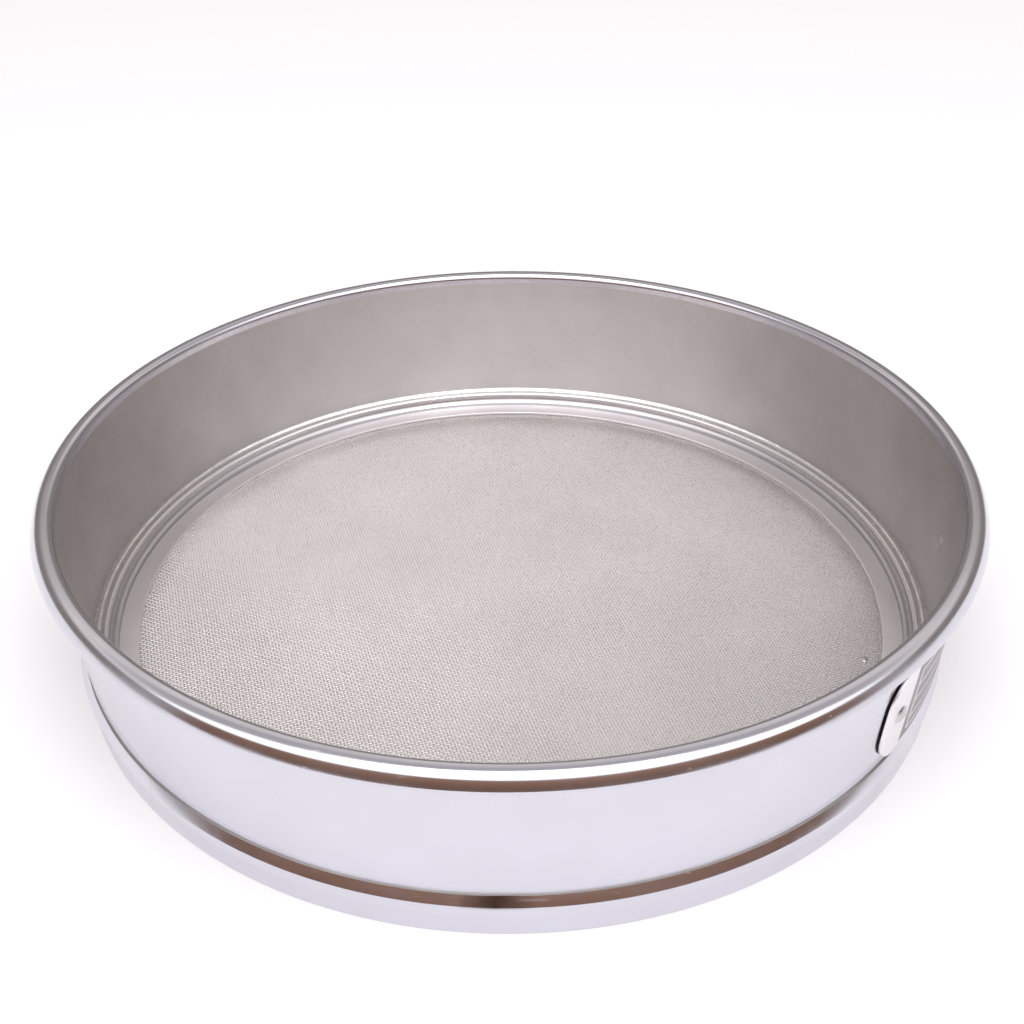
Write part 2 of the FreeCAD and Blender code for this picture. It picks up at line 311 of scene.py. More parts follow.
def buildAroundAxis():
    group, inside, outside = groupOf("aroundAxis", [], [
        ("Bearing", "NodeSocketFloat"), ("Radius", "NodeSocketFloat"),
        ("Height", "NodeSocketFloat"), ("Place", "NodeSocketVector")])
    where = group.nodes.new("ShaderNodeTexCoord")
    parts = group.nodes.new("ShaderNodeSeparateXYZ")
    group.links.new(where.outputs["Object"], parts.inputs[0])
    bearing = mathNode(group, "ARCTAN2", parts.outputs["Y"], parts.outputs["X"])
    across = mathNode(group, "MULTIPLY", parts.outputs["X"], parts.outputs["X"])
    along = mathNode(group, "MULTIPLY", parts.outputs["Y"], parts.outputs["Y"])
    radius = mathNode(group, "SQRT", mathNode(group, "ADD", across, along))
    group.links.new(bearing, outside.inputs["Bearing"])
    group.links.new(radius, outside.inputs["Radius"])
    group.links.new(parts.outputs["Z"], outside.inputs["Height"])
    group.links.new(where.outputs["Object"], outside.inputs["Place"])
    return group


def placed(tree, group, **values):
    node = tree.nodes.new("ShaderNodeGroup")
    node.node_tree = group
    for label, value in values.items():
        socket = node.inputs[label]
        if isinstance(value, bpy.types.NodeSocket):
            tree.links.new(value, socket)
        else:
            socket.default_value = value
    return node.outputs


def buildSpinLines():
    # fine lines that spinning and polishing leave around the axis
    group, inside, outside = groupOf("spinLines", [
        ("Lines Per Metre", "NodeSocketFloat", 9000.0), ("Length", "NodeSocketFloat", 0.02)], [
        ("Lines", "NodeSocketFloat")])
    axis = placed(group, aroundAxis)
    stretched = group.nodes.new("ShaderNodeCombineXYZ")
    turns = mathNode(group, "DIVIDE", mathNode(group, "SINE", axis["Bearing"]),
                     inside.outputs["Length"])
    turnsToo = mathNode(group, "DIVIDE", mathNode(group, "COSINE", axis["Bearing"]),
                        inside.outputs["Length"])
    depth = mathNode(group, "ADD", axis["Height"],
                     mathNode(group, "MULTIPLY", axis["Radius"], effects["lineSlant"]))
    stretch = effects["lineStretch"]
    group.links.new(mathNode(group, "MULTIPLY", turns, stretch), stretched.inputs["X"])
    group.links.new(mathNode(group, "MULTIPLY", turnsToo, stretch), stretched.inputs["Y"])
    group.links.new(mathNode(group, "MULTIPLY", depth, inside.outputs["Lines Per Metre"]),
                    stretched.inputs["Z"])
    lines = noiseNode(group, stretched.outputs["Vector"], 1.0,
                      effects["lineDetail"], effects["lineBreakup"])
    group.links.new(lines, outside.inputs["Lines"])
    return group


def buildHandling():
    # cloudy smudges and small rubbed spots from use and washing
    group, inside, outside = groupOf("handling", [
        ("Patch Size", "NodeSocketFloat", 0.02), ("Spot Size", "NodeSocketFloat", 0.0015)], [
        ("Smudge", "NodeSocketFloat"), ("Spots", "NodeSocketFloat")])
    where = group.nodes.new("ShaderNodeTexCoord").outputs["Object"]
    patchScale = mathNode(group, "DIVIDE", 1.0, inside.outputs["Patch Size"])
    patches = noiseNode(group, where, patchScale, 5.0, 0.6)
    group.links.new(rangeNode(group, patches, *effects["smudgeRange"]), outside.inputs["Smudge"])
    spotScale = mathNode(group, "DIVIDE", 1.0, inside.outputs["Spot Size"])
    grain = noiseNode(group, where, spotScale, 2.0, 0.5)
    group.links.new(rangeNode(group, grain, *effects["spotRange"]), outside.inputs["Spots"])
    return group


def buildScratches():
    # short hairline scratches that cross each other
    group, inside, outside = groupOf("scratches", [
        ("Spacing", "NodeSocketFloat", 0.006)], [("Scratch", "NodeSocketFloat")])
    where = group.nodes.new("ShaderNodeTexCoord").outputs["Object"]
    marks = None
    for turn, stretch in effects["scratchRuns"]:
        mapping = group.nodes.new("ShaderNodeMapping")
        mapping.inputs["Rotation"].default_value = (turn, turn * 0.7, turn * 1.9)
        mapping.inputs["Scale"].default_value = (1.0, stretch, stretch)
        group.links.new(where, mapping.inputs["Vector"])
        lines = noiseNode(group, mapping.outputs["Vector"],
                          mathNode(group, "DIVIDE", 0.35, inside.outputs["Spacing"]), 2.0, 0.4)
        mark = rangeNode(group, lines, *effects["scratchRange"])
        marks = mark if marks is None else mathNode(group, "MAXIMUM", marks, mark)
    group.links.new(marks, outside.inputs["Scratch"])
    return group


aroundAxis = buildAroundAxis()
spinLines = buildSpinLines()
handling = buildHandling()
scratches = buildScratches()
print("shared effects built")


# The finishes. Roughness runs from 0, a mirror, to 1.
finishes = {
    "polished": {  # outside of the frame and the skirt
        "colour": (0.665, 0.662, 0.725), "dull": (0.59, 0.59, 0.64),
        "roughness": 0.08, "lineRoughness": 0.09, "smudgeRoughness": 0.09,
        "linesPerMetre": 5200.0, "lineBump": 0.06, "waveBump": 0.07,
    },
    "satin": {  # inside of the frame
        "colour": (0.61, 0.583, 0.585), "dull": (0.49, 0.465, 0.465),
        "roughness": 0.40, "lineRoughness": 0.14, "smudgeRoughness": 0.10,
        "linesPerMetre": 4200.0, "lineBump": 0.22, "waveBump": 0.04, "spread": 0.85,
    },
    "ring": {  # retaining ring
        "colour": (0.88, 0.85, 0.87), "dull": (0.76, 0.73, 0.75),
        "roughness": 0.30, "lineRoughness": 0.14, "smudgeRoughness": 0.08,
        "linesPerMetre": 5200.0, "lineBump": 0.16, "waveBump": 0.08,
    },
    "ringHollowPaintedShade": {  # painted shade: the ring's hollow is coloured darker than the flange, and is smoother
        "colour": (0.56, 0.545, 0.565), "dull": (0.44, 0.43, 0.45),
        "roughness": 0.20, "lineRoughness": 0.12, "smudgeRoughness": 0.10,
        "linesPerMetre": 5200.0, "lineBump": 0.12, "waveBump": 0.08,
    },
    "ringCrown": {  # the brightest part of the ring
        "colour": (0.84, 0.825, 0.835), "dull": (0.72, 0.70, 0.71),
        "roughness": 0.20, "lineRoughness": 0.12, "smudgeRoughness": 0.10,
        "linesPerMetre": 5200.0, "lineBump": 0.12, "waveBump": 0.08,
    },
    "solder": {
        "colour": (0.76, 0.75, 0.76), "dull": (0.60, 0.58, 0.58),
        "patch": 0.006, "spot": 0.0006, "smooth": 0.18, "rough": 0.34,
        "lumpScale": 900.0, "lumpBump": 0.35, "lumpDepth": 0.0001,
    },
    "wire": {
        "colour": (0.85, 0.795, 0.775), "dull": (0.54, 0.495, 0.48),
        "patch": 0.03, "spot": 0.0012, "smudgeTint": 0.30, "spotTint": 0.45,
        "roughness": 0.28, "drawnScale": 2600.0, "drawnBump": 0.2, "drawnDepth": 0.00001,
    },
    "plate": {
        "bare": (0.86, 0.835, 0.86), "etched": (0.26, 0.245, 0.265), "worn": (0.45, 0.43, 0.45),
        "patch": 0.008, "spot": 0.0007, "fieldWear": 0.45, "bareWear": 0.25, "ruleBrightness": 0.8,
        "linesPerMetre": 7000.0, "lineLength": 0.03, "lineRoughness": 0.14, "roughness": 0.24,
        "fieldRoughness": 0.12, "fieldMetal": 0.55, "bareMetal": 0.85,
        "etchBump": 0.6, "etchDepth": 0.00004, "lineBump": 0.25, "lineDepth": 0.00002,
    },
    "crevicePaintedShade": {  # painted shade: a darker, dull edge where the skirt ring meets the wall
        "colour": (0.46, 0.43, 0.41), "dull": (0.36, 0.33, 0.31),
        "roughness": 0.45, "lineRoughness": 0.10, "smudgeRoughness": 0.10,
        "linesPerMetre": 5200.0, "lineBump": 0.10, "waveBump": 0.0,
    },
    "rivet": {
        "colour": (0.62, 0.60, 0.61), "dull": (0.48, 0.46, 0.46),
        "patch": 0.002, "spot": 0.0004, "smooth": 0.26, "rough": 0.42,
        "lumpScale": 1400.0, "lumpBump": 0.25, "lumpDepth": 0.00005,
    },
}


skirt = {
    "top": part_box("lower_skirt")[1].z,
    "lip": 0.0003,
    "crest": 0.0080,
    "reach": 0.0006,
    "foot": 0.0045,
    "jointBearing": math.radians(-90.8),  # where the ring's two ends meet
    "jointWidth": 0.0032,
    "jointRise": 0.00016,
    "darkReach": 0.008,
    "darkColour": (0.10, 0.08, 0.06),
    "darkGrain": 260.0,
    "darkShift": (-0.001, 0.005),
    "darkBelow": 0.0006,  # the darkening fades out from here below the crest to here above it
    "darkAbove": 0.0002,
    "darkStrength": 0.85,
    "edgeRound": 0.0002,
    "footRound": 0.0007,
    "crestRound": 0.00016,
}


def newMaterial(name, metallic=1.0):
    material = bpy.data.materials.new(name)
    material.use_nodes = True
    shader = material.node_tree.nodes["Principled BSDF"]
    shader.inputs["Metallic"].default_value = metallic
    return material, material.node_tree, shader


def bumpInto(tree, shader, height, strength, distance, below=None):
    bump = tree.nodes.new("ShaderNodeBump")
    bump.inputs["Strength"].default_value = strength
    bump.inputs["Distance"].default_value = distance
    tree.links.new(height, bump.inputs["Height"])
    if below is not None:
        tree.links.new(below, bump.inputs["Normal"])
    tree.links.new(bump.outputs["Normal"], shader.inputs["Normal"])
    return bump.outputs["Normal"]


def jointDarkening(tree, colour):
    # darkens the colour on the shoulder around the joint
    axis = placed(tree, aroundAxis)
    along = mathNode(tree, "MULTIPLY",
                     mathNode(tree, "SUBTRACT", axis["Bearing"], skirt["jointBearing"]), skirtRadius)
    uneven = noiseNode(tree, axis["Place"], skirt["darkGrain"], 3.0)
    along = mathNode(tree, "ADD", along, rangeNode(tree, uneven, 0.0, 1.0, *skirt["darkShift"]))
    spread = rangeNode(tree, mathNode(tree, "ABSOLUTE", along), skirt["darkReach"], 0.0)
    low = rangeNode(tree, axis["Height"],
                    skirt["crest"] - skirt["darkBelow"], skirt["crest"] + skirt["darkAbove"])
    tint = mathNode(tree, "MULTIPLY", mathNode(tree, "MULTIPLY", spread, low),
                    skirt["darkStrength"])
    return mixColours(tree, tint, colour, skirt["darkColour"])


def spunRound(tree, shader, amount):
    # turning lines run round the part, so they spread a reflection up and down
    tangent = tree.nodes.new("ShaderNodeTangent")
    tangent.direction_type = "RADIAL"
    tangent.axis = "Z"
    tree.links.new(tangent.outputs["Tangent"], shader.inputs["Tangent"])
    shader.inputs["Anisotropic"].default_value = amount
    shader.inputs["Anisotropic Rotation"].default_value = 0.25


def spunSteel(name, look, jointDarkened=False):
    material, tree, shader = newMaterial(name)
    lines = placed(tree, spinLines, **{"Lines Per Metre": look["linesPerMetre"]})["Lines"]
    marks = placed(tree, handling)
    scratch = placed(tree, scratches)["Scratch"]
    colour = mixColours(tree, mathNode(tree, "MULTIPLY", marks["Smudge"], effects["smudgeTint"]),
                        look["colour"], look["dull"])
    colour = mixColours(tree, mathNode(tree, "MULTIPLY", marks["Spots"], effects["spotTint"]),
                        colour, look["dull"])
    if jointDarkened:
        colour = jointDarkening(tree, colour)
    tree.links.new(colour, shader.inputs["Base Color"])
    roughness = mathNode(tree, "MULTIPLY_ADD", lines, look["lineRoughness"], look["roughness"])
    roughness = mathNode(tree, "MULTIPLY_ADD", marks["Smudge"], look["smudgeRoughness"],
                         roughness)
    roughness = mathNode(tree, "MULTIPLY_ADD", scratch, effects["scratchRoughness"], roughness)
    tree.links.new(roughness, shader.inputs["Roughness"])
    if "spread" in look:
        spunRound(tree, shader, look["spread"])
    where = tree.nodes.new("ShaderNodeTexCoord").outputs["Object"]
    waves = noiseNode(tree, where, effects["waveScale"], 1.0)  # the sheet isn't perfectly true
    slow = bumpInto(tree, shader, waves, look["waveBump"], effects["waveDepth"])
    fine = bumpInto(tree, shader, lines, look["lineBump"], effects["lineDepth"], slow)
    bumpInto(tree, shader, mathNode(tree, "MULTIPLY", scratch, -1.0),
             effects["scratchBump"], effects["scratchDepth"], fine)
    return material


def solderMetal():
    material, tree, shader = newMaterial("solderMetal")
    look = finishes["solder"]
    where = tree.nodes.new("ShaderNodeTexCoord").outputs["Object"]
    marks = placed(tree, handling, **{"Patch Size": look["patch"], "Spot Size": look["spot"]})
    colour = mixColours(tree, marks["Smudge"], look["colour"], look["dull"])
    tree.links.new(colour, shader.inputs["Base Color"])
    tree.links.new(rangeNode(tree, marks["Smudge"], 0.0, 1.0, look["smooth"], look["rough"]),
                   shader.inputs["Roughness"])
    lumps = noiseNode(tree, where, look["lumpScale"], 3.0)
    bumpInto(tree, shader, lumps, look["lumpBump"], look["lumpDepth"])
    return material


def wireSteel():
    material, tree, shader = newMaterial("wireSteel")
    look = finishes["wire"]
    where = tree.nodes.new("ShaderNodeTexCoord").outputs["Object"]
    marks = placed(tree, handling, **{"Patch Size": look["patch"], "Spot Size": look["spot"]})
    colour = mixColours(tree, mathNode(tree, "MULTIPLY", marks["Smudge"], look["smudgeTint"]),
                        look["colour"], look["dull"])
    colour = mixColours(tree, mathNode(tree, "MULTIPLY", marks["Spots"], look["spotTint"]),
                        colour, look["dull"])
    tree.links.new(colour, shader.inputs["Base Color"])
    drawn = noiseNode(tree, where, look["drawnScale"], 2.0)
    smoothest, roughest = look["roughness"] - 0.06, look["roughness"] + 0.10
    tree.links.new(rangeNode(tree, drawn, 0.3, 0.7, smoothest, roughest),
                   shader.inputs["Roughness"])
    bumpInto(tree, shader, drawn, look["drawnBump"], look["drawnDepth"])
    return material


def rivetMetal():
    material, tree, shader = newMaterial("rivetMetal")
    look = finishes["rivet"]
    where = tree.nodes.new("ShaderNodeTexCoord").outputs["Object"]
    marks = placed(tree, handling, **{"Patch Size": look["patch"], "Spot Size": look["spot"]})
    tree.links.new(mixColours(tree, marks["Smudge"], look["colour"], look["dull"]),
                   shader.inputs["Base Color"])
    tree.links.new(rangeNode(tree, marks["Spots"], 0.0, 1.0, look["smooth"], look["rough"]),
                   shader.inputs["Roughness"])
    bumpInto(tree, shader, noiseNode(tree, where, look["lumpScale"], 3.0),
             look["lumpBump"], look["lumpDepth"])
    return material


polished = spunSteel("polishedSteel", finishes["polished"])
jointDarkenedSteel = spunSteel("polishedSteelJointDarkened", finishes["polished"], jointDarkened=True)
crevicePaintedShade = spunSteel("crevicePaintedShadeSteel", finishes["crevicePaintedShade"])
satin = spunSteel("satinSteel", finishes["satin"])
ringSteel = spunSteel("ringSteel", finishes["ring"])
ringHollowPaintedShade = spunSteel("ringHollowPaintedShadeSteel", finishes["ringHollowPaintedShade"])
ringCrown = spunSteel("ringCrownSteel", finishes["ringCrown"])
solder = solderMetal()
wire = wireSteel()
rivetAluminium = rivetMetal()
print("metals made")


# Shapes turned about the axis.
turning = {"segments": 512, "softSteps": 4}


def arcPoints(centre, radius, startDegrees, endDegrees, steps, coat=0):
    angles = np.radians(np.linspace(startDegrees, endDegrees, steps))
    return [(centre[0] + radius * math.cos(a), centre[1] + radius * math.sin(a), coat)
            for a in angles]


def softened(points, bends):
    # rounds the listed corners; bends gives a corner's number and how far the round reaches
    result = []
    for number, (across, up, coat) in enumerate(points):
        reach = bends.get(number)
        if reach is None:
            result.append((across, up, coat))
            continue
        corner = Vector((across, up))
        before = Vector(points[number - 1][:2]) - corner
        after = Vector(points[(number + 1) % len(points)][:2]) - corner
        start = corner + before.normalized() * min(reach, before.length * 0.45)
        end = corner + after.normalized() * min(reach, after.length * 0.45)
        for step in range(turning["softSteps"] + 1):
            share = step / turning["softSteps"]
            spot = start.lerp(corner, share).lerp(corner.lerp(end, share), share)
            result.append((spot.x, spot.y, coat))
    return result


def linked(name, verts, faces, materials, body="root"):
    mesh = bpy.data.meshes.new(name)
    mesh.vertices.add(len(verts))
    mesh.vertices.foreach_set("co", np.asarray(verts, np.float32).ravel())
    faces = np.asarray(faces, np.int32)
    mesh.loops.add(faces.size)
    mesh.polygons.add(len(faces))
    mesh.loops.foreach_set("vertex_index", faces.ravel())
    starts = np.arange(0, faces.size, faces.shape[1], dtype=np.int32)
    mesh.polygons.foreach_set("loop_start", starts)
    mesh.update(calc_edges=True)
    mesh.validate()
    for material in materials:
        mesh.materials.append(material)
    piece = bpy.data.objects.new(name, mesh)
    bpy.context.collection.objects.link(piece)
    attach(piece, body)
    return piece


def turnedPiece(name, profile, materials, bent=None):
    # turns a closed outline of (radius, height, coat) about the axis
    profile = np.array(profile, float)
    across, up = profile[:, 0], profile[:, 1]
    area = np.sum(across * np.roll(up, -1) - np.roll(across, -1) * up)
    if area > 0:
        profile = profile[::-1].copy()
        profile[:, 2] = np.roll(profile[:, 2], -1)
        across, up = profile[:, 0], profile[:, 1]
    count, rounds = len(profile), turning["segments"]
    bearings = np.linspace(0, 2 * math.pi, rounds, endpoint=False)[:, None]
    radii = np.repeat(across[None, :], rounds, 0)
    heights = np.repeat(up[None, :], rounds, 0)
    if bent is not None:
        radii, heights = bent(bearings, radii, heights)
    verts = np.stack([radii * np.cos(bearings), radii * np.sin(bearings), heights], -1)
    verts = verts.reshape(-1, 3)
    spot = np.arange(count)
    after = np.roll(spot, -1)
    turn = np.arange(rounds)[:, None] * count
    nextTurn = np.roll(np.arange(rounds), -1)[:, None] * count
    faces = np.stack([turn + spot, turn + after, nextTurn + after, nextTurn + spot], -1)
    faces = faces.reshape(-1, 4)
    piece = linked(name, verts, faces, materials)
    mesh = piece.data
    mesh.polygons.foreach_set("material_index", np.tile(profile[:, 2].astype(np.int32), rounds))
    smoothed(mesh)
    return piece


def smoothed(mesh, degrees=38.0):
    mesh.polygons.foreach_set("use_smooth", np.ones(len(mesh.polygons), bool))
    mesh.set_sharp_from_angle(angle=math.radians(degrees))


# The frame: rolled rim, drafted wall and shelf.
wall = {
    "sheet": 0.0010,
    "curlGap": 0.0004,
    "boreDepth": mounts["nest_bore"]["dims"]["length_mm"] / 1000,
    "draft": 0.0024,
    "shelfWidth": 0.0088,
    "insideFootRound": 0.0006,
    "boreRound": 0.0020,
    "outsideFootRound": 0.0008,
    "polishBelow": 0.0002,  # the polish starts this far below the rim's centre
}
rim = {
    "innerTurn": 0.0015,  # radius from the bore to the top
    "flatTop": 0.00065,
    "outerTurn": 0.0023,  # radius from the top to the flank
    "flankFrom": 33.0,  # degrees above level that the surface faces where the flank starts
    "flankReach": 0.0010,
    "flankDrop": 0.00290,
    "tuck": 0.00045,
    "tuckDrop": 0.0001,
    "returnShare": 0.93,  # the curl tightens behind the tuck
    "returnFrom": -68,
    "curlInset": 0.0003,
    "flankSteps": 12,
}
rimRadius = (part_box("upper_frame")[1].x - boreRadius) / 2
rimCentre = rimTop - rimRadius
boreEnd = rimCentre - wall["boreDepth"]
shelfTop = clothLow.z
footRadius = boreRadius - wall["draft"]
wallSlope = wall["draft"] / (boreEnd - shelfTop)


def wallInside(height):
    return boreRadius - max(boreEnd - height, 0) * wallSlope


def makeFrame():
    sheet = wall["sheet"]
    beadCentre = (boreRadius + rimRadius, rimCentre)
    curlEnd = math.degrees(math.acos((rimRadius - sheet - wall["curlGap"]) / rimRadius))
    shelfRadius = footRadius - wall["shelfWidth"]
    inside = [
        (shelfRadius, shelfTop, 1),
        (footRadius, shelfTop, 1),
        (boreRadius, boreEnd, 1),
        (boreRadius, rimCentre - wall["polishBelow"], 0),
    ]
    inside = softened(inside, {1: wall["insideFootRound"], 2: wall["boreRound"]})
    inner = (boreRadius + rim["innerTurn"], rimTop - rim["innerTurn"])
    outer = (inner[0] + rim["flatTop"], rimTop - rim["outerTurn"])
    bead = arcPoints(inner, rim["innerTurn"], 180, 90, 14)
    bead += arcPoints(outer, rim["outerTurn"], 90, rim["flankFrom"], 16)
    lowest = (boreRadius + 2 * rimRadius, rimTop - rim["flankDrop"])
    start = Vector(bead[-1][:2])
    heading = math.radians(rim["flankFrom"])
    corner = start + Vector((math.sin(heading), -math.cos(heading))) * rim["flankReach"]
    for step in range(1, rim["flankSteps"] + 1):  # the flank straightens towards its lower edge
        share = step / rim["flankSteps"]
        spot = start.lerp(corner, share).lerp(corner.lerp(Vector(lowest), share), share)
        bead.append((spot.x, spot.y, 0))
    tuck = (lowest[0] - rim["tuck"], lowest[1] - rim["tuckDrop"])
    bead += arcPoints(tuck, rim["tuck"], 0, -100, 8)[1:]
    bead += arcPoints(beadCentre, rimRadius * rim["returnShare"],
                      rim["returnFrom"], -180 + curlEnd, 8)
    curl = arcPoints(beadCentre, rimRadius - sheet - rim["curlInset"], -180 + curlEnd, 180, 24)
    outside = [
        (boreRadius + sheet, boreEnd, 0),
        (footRadius + sheet, shelfTop, 0),
        (footRadius, shelfTop - sheet, 0),
        (shelfRadius, shelfTop - sheet, 0),
    ]
    bends = {1: wall["boreRound"], 2: wall["outsideFootRound"]}
    outside = softened([curl[-1]] + outside + [inside[0]], bends)[1:-1]
    frameMaterials = [polished, satin]
    piece = turnedPiece("frame", inside + bead + curl + outside, frameMaterials)
    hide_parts("upper_frame")


makeFrame()
print("frame turned")


def makeSkirt():
    # the ring that makes the shoulder and the skirt
    bottom = cadLow.z
    backRadius = footRadius + wall["sheet"]
    topRadius = wallInside(skirt["top"]) + wall["sheet"]
    points = [
        (backRadius, bottom, 0),
        (skirtRadius, bottom, 0),
        (skirtRadius, skirt["foot"], 0),
        (boreRadius + skirt["reach"], skirt["crest"], 0),
        # the lip's top face gets the darker colour, painted shade where the ring meets the wall
        (topRadius + skirt["lip"], skirt["top"], 1),
        (topRadius, skirt["top"], 0),
        (backRadius, shelfTop, 0),
    ]
    bends = {0: skirt["edgeRound"], 1: skirt["edgeRound"],
             2: skirt["footRound"], 3: skirt["crestRound"]}
    profile = softened(points, bends)

    def joint(bearings, radii, heights):
        # the upper edge stands a little higher where the ends meet
        away = np.mod(bearings - skirt["jointBearing"] + math.pi, 2 * math.pi) - math.pi
        along = away * skirtRadius
        bump = np.exp(-(along / skirt["jointWidth"]) ** 2)
        share = np.clip((heights - skirt["crest"]) / (skirt["top"] - skirt["crest"]), 0, 1)
        heights = heights + bump * share * skirt["jointRise"]
        return radii, heights

    piece = turnedPiece("skirtRing", profile, [jointDarkenedSteel, crevicePaintedShade], joint)
    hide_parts("lower_skirt")


makeSkirt()
print("skirt turned")


# The retaining ring over the cloth.
ring = {
    "sheet": 0.0006,
    "gap": 0.0013,  # to the foot of the wall, filled with solder
    "flange": 0.0045,
    "rise": 0.0021,
    "crown": 0.0008,
    "lowerEdgeRound": 0.0001,
    "upperEdgeRound": 0.0002,
}
ring["outside"] = footRadius - ring["gap"]
ring["crownCentre"] = ring["outside"] - ring["crown"]
ring["hollowStart"] = ring["crownCentre"] - ring["crown"] - ring["rise"]
ring["inside"] = ring["hollowStart"] - ring["flange"]
ring["flangeTop"] = clothHigh.z + ring["sheet"]
ring["crownBase"] = ring["flangeTop"] + ring["rise"]


def makeRing():
    sheet, clothTop = ring["sheet"], clothHigh.z
    hollow = (ring["hollowStart"], ring["crownBase"])
    crown = (ring["crownCentre"], ring["crownBase"])
    lip = [(ring["inside"], clothTop, 0), (ring["inside"], ring["flangeTop"], 0)]
    bends = {0: ring["lowerEdgeRound"], 1: ring["upperEdgeRound"]}
    upper = softened(lip + [(ring["hollowStart"], ring["flangeTop"], 0)], bends)[:-1]
    # the hollow gets the darker colour, a painted shade
    upper += arcPoints(hollow, ring["rise"], -90, 0, 14, 1)
    upper += arcPoints(crown, ring["crown"], 180, 0, 18, 2)[1:]
    lower = [(ring["outside"], clothTop, 0), (ring["outside"] - sheet, clothTop, 0)]
    lower += arcPoints(crown, ring["crown"] - sheet, 0, 180, 8)
    lower += arcPoints(hollow, ring["rise"] + sheet, 0, -90, 14)[1:]
    piece = turnedPiece("retainingRing", upper + lower, [ringSteel, ringHollowPaintedShade, ringCrown])
    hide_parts("retaining_ring")


makeRing()
print("retaining ring turned")


# The solder between the ring and the wall.
seam = {
    "top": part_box("solder_bead")[1].z,
    "foot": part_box("solder_bead")[0].z,
    "ragged": 0.00004,
    "edgeWaves": (30, 420, 12),  # slowest, fastest and how many
    "swell": 0.000015,
    "swellWaves": (12, 160, 8),
    "underTop": 0.0001,
    "settle": 0.00025,
    "overCrown": 0.0001,
    "intoRing": 0.00002,
    "intoWall": 0.00005,
    "sag": 0.00028,
    "steps": 8,
    "drops": 9,
    "dropSize": (0.00014, 0.00030),
    "dropSpread": 0.0004,
    "dropFlatness": 0.6,
    "clothDropBearing": math.radians(-19.0),
    "clothDropRadius": 0.0845,
    "clothDropSize": 0.0010,
    "clothDropHeight": 0.00020,
    "seed": 7,
}


def ripple(rng, bearings, slowest, fastest, count):
    total = np.zeros_like(bearings)
    for turns in rng.integers(slowest, fastest, count):
        total += np.sin(bearings * turns + rng.uniform(0, 2 * math.pi)) * rng.uniform(0.5, 1.0)
    return total / math.sqrt(count)


def makeSeam():
    rng = np.random.default_rng(seam["seed"])
    top = seam["top"] - seam["underTop"]
    inner = ring["outside"] - seam["intoRing"]
    start = ring["crownBase"] + seam["overCrown"]
    points = [(inner, seam["foot"], 0), (inner, start, 0)]
    for step in range(1, seam["steps"] + 1):
        share = step / seam["steps"]
        sag = math.sin(math.pi * share) * seam["sag"]
        across = ring["outside"] + (wallInside(top) - ring["outside"]) * share + sag * 0.5
        points.append((across, start + (top - ring["crownBase"]) * share - sag, 0))
    points.append((wallInside(top) + seam["intoWall"], top - seam["intoWall"], 0))
    points.append((wallInside(seam["foot"]) + seam["intoWall"], seam["foot"], 0))

    def uneven(bearings, radii, heights):
        share = np.clip((heights - ring["crownBase"]) / (top - ring["crownBase"]), 0, 1)
        edge = ripple(rng, bearings, *seam["edgeWaves"]) * seam["ragged"]
        swell = ripple(rng, bearings, *seam["swellWaves"]) * seam["swell"]
        heights = np.minimum(heights + share * (edge - seam["settle"]), seam["top"])
        radii = radii - share * (1 - share) * 4 * np.abs(swell)
        return radii, heights

    piece = turnedPiece("solderSeam", points, [solder], uneven)
    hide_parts("solder_bead")
    return rng


def makeDrops(rng):
    # small splashes of solder on the ring and one on the cloth
    shape = bmesh.new()
    for number in range(seam["drops"]):
        bearing = rng.uniform(0, 2 * math.pi)
        size = rng.uniform(*seam["dropSize"])
        across = ring["outside"] - rng.uniform(0.0, seam["dropSpread"])
        spot = Vector((across * math.cos(bearing), across * math.sin(bearing),
                       ring["crownBase"] + ring["crown"] * 0.75))
        addDrop(shape, rng, spot, size, size * seam["dropFlatness"])
    bearing, across = seam["clothDropBearing"], seam["clothDropRadius"]
    spot = Vector((across * math.cos(bearing), across * math.sin(bearing), clothHigh.z - 0.0001))
    addDrop(shape, rng, spot, seam["clothDropSize"], seam["clothDropHeight"])
    mesh = bpy.data.meshes.new("solderDrops")
    shape.to_mesh(mesh)
    shape.free()
    mesh.materials.append(solder)
    smoothed(mesh, 80)
    piece = bpy.data.objects.new("solderDrops", mesh)
    bpy.context.collection.objects.link(piece)
    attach(piece, "root")


def addDrop(shape, rng, spot, size, height):
    made = bmesh.ops.create_icosphere(shape, subdivisions=2, radius=1.0)
    lean = rng.uniform(0, math.pi)
    long = rng.uniform(1.0, 1.6)
    for vert in made["verts"]:
        wobble = 1 + 0.12 * math.sin(3 * vert.co.x + 2 * vert.co.y + lean)
        place = Vector((vert.co.x * size * long, vert.co.y * size, vert.co.z * height)) * wobble
        vert.co = spot + Matrix.Rotation(lean, 3, "Z") @ place


makeDrops(makeSeam())
print("solder placed")


# The woven wire cloth.
cloth = {
    "reach": ring["inside"] + 0.0022,  # the wires end between the shelf and the ring
    "wireRadius": (clothHigh.z - clothLow.z) / 4,
    "warpBearing": 106.0,  # degrees from +X that the warp wires run
    "weftBearing": 19.5,
    "warpPitch": 0.000715,
    "weftPitch": 0.000750,
    "unevenness": 0.000016,
    "swayTurns": (60, 160),
    "fewestCrossings": 3,
    "seed": 21,
}


